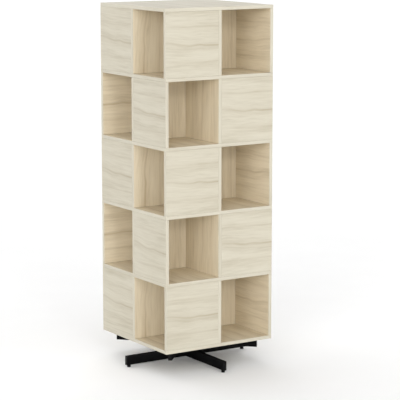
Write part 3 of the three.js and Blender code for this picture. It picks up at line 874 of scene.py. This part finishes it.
def wood_decor():
    """Printed wood. Dark lines run along the grain at an even spacing, each a narrow bell of the
    distance from its centre over a wide, faint one, and one of them is the darkest. It and its
    neighbours sink by a smooth step along the board and swell back a little. Slow bands, short figure
    and fine fibres of drawn-out noise fill the ground between them. Faces inside the compartments get
    a painted bounce light: a lighter, warmer tint that stands in for light bouncing between the boards."""
    material, tree, shader = new_surface("pale_wood_decor", Specular_IOR_Level=0.5)
    number = attribute(tree, "board_number")
    grain = add_node(tree, "ShaderNodeUVMap", uv_map="grain")
    split = add_node(tree, "ShaderNodeSeparateXYZ", {0: grain.outputs[0]})
    along, across = split.outputs[0], split.outputs[1]
    product = partial(arithmetic, tree, "MULTIPLY")
    total = partial(arithmetic, tree, "ADD")

    sink = map_range(tree, along, *SINK_PLACES, *SINK_HEIGHTS, "SMOOTHSTEP")
    swell = product(bell(tree, along, SWELL_PLACE, SWELL_LENGTH), SWELL_HEIGHT)
    bend = product(total(sink, swell), bell(tree, across, 0.0, BEND_REACH))
    slow = stretched_noise(tree, along, across, number, *WANDER_NOISE)
    wander = product(arithmetic(tree, "SUBTRACT", slow, NOISE_MIDDLE), WANDER_WIDTH)
    swayed = total(across, total(bend, wander))

    bands = stretched_noise(tree, along, swayed, number, *BANDS_NOISE)
    figure = stretched_noise(tree, along, swayed, number, *FIGURE_NOISE)
    fibres = stretched_noise(tree, along, swayed, number, *FIBRES_NOISE)
    ground = total(product(bands, BANDS_SHARE), product(figure, FIGURE_SHARE))
    ground = ramp(tree, total(ground, product(fibres, FIBRES_SHARE)), DECOR_TONES)

    from_line = arithmetic(tree, "WRAP", swayed, STREAK_SPACING / 2, -STREAK_SPACING / 2)
    shade = bell(tree, from_line, STREAK_SHADE_PLACE, STREAK_SHADE_WIDTH)
    shade = product(shade, STREAK_SHADE_SHARE)
    line = arithmetic(tree, "MAXIMUM", bell(tree, from_line, 0.0, STREAK_WIDTH), shade)
    depth = map_range(tree, bell(tree, swayed, 0.0, DARKEST_REACH), 0.0, 1.0, *STREAK_DEPTHS)
    fade = map_range(tree, along, *FADE_PLACES, *FADE_SHARES)
    fade = product(fade, map_range(tree, figure, *FIGURE_HEIGHTS, *FIGURE_FADES))
    face = mixed(tree, product(line, product(depth, fade)), ground, STREAK)
    # Painted bounce light: faces inside the compartments are tinted lighter and warmer.
    face = mixed(tree, attribute(tree, "painted_bounce_light"), face, PAINTED_BOUNCE_TINT, "MULTIPLY")

    banded = mixed(tree, product(attribute(tree, "band"), BAND_LIGHT_SHARE), face, BAND_LIGHT)
    rub = product(attribute(tree, "arris"), product(fibres, ARRIS_RUB_SHARE))
    rubbed = mixed(tree, rub, banded, BAND_LIGHT)
    seamed = mixed(tree, product(attribute(tree, "seam"), SEAM_DARK_SHARE), rubbed, SEAM_DARK)
    gloss = map_range(tree, fibres, 0.0, 1.0, *DECOR_GLOSS)
    finish_surface(tree, shader, seamed, gloss, fibres, FIBRES_STRENGTH, FIBRES_HEIGHT)
    return material


decor = wood_decor()
X, Y, Z = range(3)
ONWARD, BACKWARD = 1, -1
# Shares of the painted bounce light on a face, which is painted lighter and warmer inside the
# compartments.
INSIDE, OUTSIDE = 1.0, 0.0
LEVEL_BOARDS = {
    "bottom_board": (OUTSIDE, INSIDE),
    "shelf_1": (INSIDE, INSIDE),
    "shelf_2": (INSIDE, INSIDE),
    "shelf_3": (INSIDE, INSIDE),
    "shelf_4": (INSIDE, INSIDE),
    "top_board": (INSIDE, OUTSIDE),
}
LEFT_LINE = -0.257
for number, (node, sides) in enumerate(LEVEL_BOARDS.items()):
    banded_board(node, Y, X, number, sides, BACKWARD, LEFT_LINE)

# Each tier has four outer panels, set like the vanes of a pinwheel round a cross of dividers. They are
# cut from the same decor board, with the grain level on the panels and upright on the dividers, and
# hidden dowels hold the joints.
TIERS = 5
TIER_STRIDE = 10
PANELS = {
    "front_panel": (X, ONWARD, (OUTSIDE, INSIDE)),
    "right_panel": (Y, ONWARD, (INSIDE, OUTSIDE)),
    "back_panel": (X, BACKWARD, (INSIDE, OUTSIDE)),
    "left_panel": (Y, BACKWARD, (OUTSIDE, INSIDE)),
}
DIVIDERS = {
    "through_divider": (X, BACKWARD, LEFT_LINE),
    "half_divider_front": (Y, ONWARD, 0.0),
    "half_divider_back": (Y, ONWARD, 0.0),
}
for tier in range(1, TIERS + 1):
    first = TIER_STRIDE * tier
    for number, (board, (grain, way, sides)) in enumerate(PANELS.items(), first):
        banded_board(f"{board}_{tier}", grain, Z, number, sides, way)
    for number, (board, (across, way, line)) in enumerate(DIVIDERS.items(), first + len(PANELS)):
        banded_board(f"{board}_{tier}", Z, across, number, (INSIDE, INSIDE), way, line)

# The floor is a wide sheet of board, painted near white, that the feet of the glides stand on. It
# belongs to the studio and not to the tower.
FLOOR_RADIUS = 90.0
FLOOR_FIRST_RING = 0.5
FLOOR_RINGS = 16
FLOOR_STEPS = 96
FLOOR_TONES = [(0.3, (0.955, 0.955, 0.955)), (0.7, (0.97, 0.97, 0.97))]
FLOOR_GLOSS = (0.75, 0.85)
FLOOR_MOTTLE_NOISE = (3.0, 4.0)


def studio_floor():
    """A level disc, rings of growing radius carried round the axis."""
    rings = np.concatenate([[0.0], np.geomspace(FLOOR_FIRST_RING, FLOOR_RADIUS, FLOOR_RINGS)])
    turn = np.arange(FLOOR_STEPS) * 2 * pi / FLOOR_STEPS
    grid = np.repeat(rings[::-1, None], FLOOR_STEPS, axis=1)
    points = round_points(grid, np.zeros_like(grid), turn)
    return points, loft_faces(*grid.shape, ends=False)


def pale_floor():
    """Near white paint with a faint mottle in its colour and gloss."""
    material, tree, shader = new_surface("pale_floor", Specular_IOR_Level=0.1)
    mottle = noise(tree, object_place(tree), *FLOOR_MOTTLE_NOISE)
    gloss = map_range(tree, mottle, 0.0, 1.0, *FLOOR_GLOSS)
    tree.links.new(ramp(tree, mottle, FLOOR_TONES), shader.inputs["Base Color"])
    tree.links.new(gloss, shader.inputs["Roughness"])
    return material


floor_mesh = mesh_of("studio_floor", [studio_floor()])
floor_mesh.materials.append(pale_floor())
floor = bpy.data.objects.new("studio_floor", floor_mesh)
bpy.context.scene.collection.objects.link(floor)

# The light is a white studio. Bright walls stand in front and behind, a key lamp and two broad fill
# lamps at the left reach into the openings, and two steep lamps overhead draw the soft shade round the
# base.
FRONT_WALL_LIGHT = 1.53
BACK_WALL_LIGHT = 1.86
BACKDROP_WHITE = 1.0
KEY_TRAVEL = (0.216, 0.976)
KEY_ELEVATION = radians(20)
KEY_STRENGTH = 0.294
KEY_SPREAD = radians(7)
FILL_TRAVEL = (0.74, 0.67)
LOW_FILL_ELEVATION = radians(5)
LOW_FILL_STRENGTH = 1.65
LOW_FILL_SPREAD = radians(36)
HIGH_FILL_ELEVATION = radians(42)
HIGH_FILL_STRENGTH = 0.373
HIGH_FILL_SPREAD = radians(50)
STEEP_RIGHT_TRAVEL = (0.842, -0.539)
STEEP_RIGHT_STRENGTH = 0.26
STEEP_FRONT_TRAVEL = (-0.54, -0.842)
STEEP_FRONT_STRENGTH = 0.342
STEEP_ELEVATION = radians(75)
STEEP_SPREAD = radians(30)


def white_studio():
    """Light by direction: each wall's light grows with the direction's own share towards it. The
    backdrop itself is plain white."""
    world = bpy.data.worlds.new("white_studio")
    world.use_nodes = True
    tree = world.node_tree
    direction = add_node(tree, "ShaderNodeTexCoord").outputs["Generated"]
    split = add_node(tree, "ShaderNodeSeparateXYZ", {0: direction})
    light = 0.0
    for end, strength in ((-1.0, FRONT_WALL_LIGHT), (1.0, BACK_WALL_LIGHT)):
        towards = map_range(tree, split.outputs[Y], 0.0, end, 0.0, strength)
        light = arithmetic(tree, "ADD", light, towards)
    seen = add_node(tree, "ShaderNodeLightPath").outputs["Is Camera Ray"]
    strength = add_node(tree, "ShaderNodeMix", {0: seen, 2: light, 3: BACKDROP_WHITE})
    background = tree.nodes["Background"]
    background.inputs["Color"].default_value = (1, 1, 1, 1)
    tree.links.new(strength.outputs[0], background.inputs["Strength"])
    return world


def add_sun(name, travel, elevation, strength, spread):
    """A distant lamp whose light travels along a level direction and down by its elevation."""
    lamp = bpy.data.lights.new(name, "SUN")
    lamp.energy = strength
    lamp.angle = spread
    sun = bpy.data.objects.new(name, lamp)
    ray = Vector((*travel, 0)).normalized() * cos(elevation) - Vector((0, 0, sin(elevation)))
    sun.rotation_euler = ray.to_track_quat("-Z", "Y").to_euler()
    bpy.context.scene.collection.objects.link(sun)


scene = bpy.context.scene
scene.view_settings.view_transform = "Standard"
scene.world = white_studio()
add_sun("key_lamp", KEY_TRAVEL, KEY_ELEVATION, KEY_STRENGTH, KEY_SPREAD)
add_sun("low_fill", FILL_TRAVEL, LOW_FILL_ELEVATION, LOW_FILL_STRENGTH, LOW_FILL_SPREAD)
add_sun("high_fill", FILL_TRAVEL, HIGH_FILL_ELEVATION, HIGH_FILL_STRENGTH, HIGH_FILL_SPREAD)
add_sun("steep_right", STEEP_RIGHT_TRAVEL, STEEP_ELEVATION, STEEP_RIGHT_STRENGTH, STEEP_SPREAD)
add_sun("steep_front", STEEP_FRONT_TRAVEL, STEEP_ELEVATION, STEEP_FRONT_STRENGTH, STEEP_SPREAD)

# The camera stands far off to the left of the front face, above head height, and looks a little down.
# Its long lens keeps the upright edges nearly parallel.
CAMERA_PLACE = (-4.980, -7.912, 2.429)
CAMERA_TURN = radians(32.64)
CAMERA_TILT = radians(9.478)
CAMERA_LENS = 159.27
CAMERA_FAR = 300.0

camera_data = bpy.data.cameras.new("photo_camera")
camera_data.lens = CAMERA_LENS
camera_data.clip_end = CAMERA_FAR
camera = bpy.data.objects.new("photo_camera", camera_data)
camera.location = CAMERA_PLACE
camera.rotation_euler = (pi / 2 - CAMERA_TILT, 0, -CAMERA_TURN)
scene.collection.objects.link(camera)
scene.camera = camera
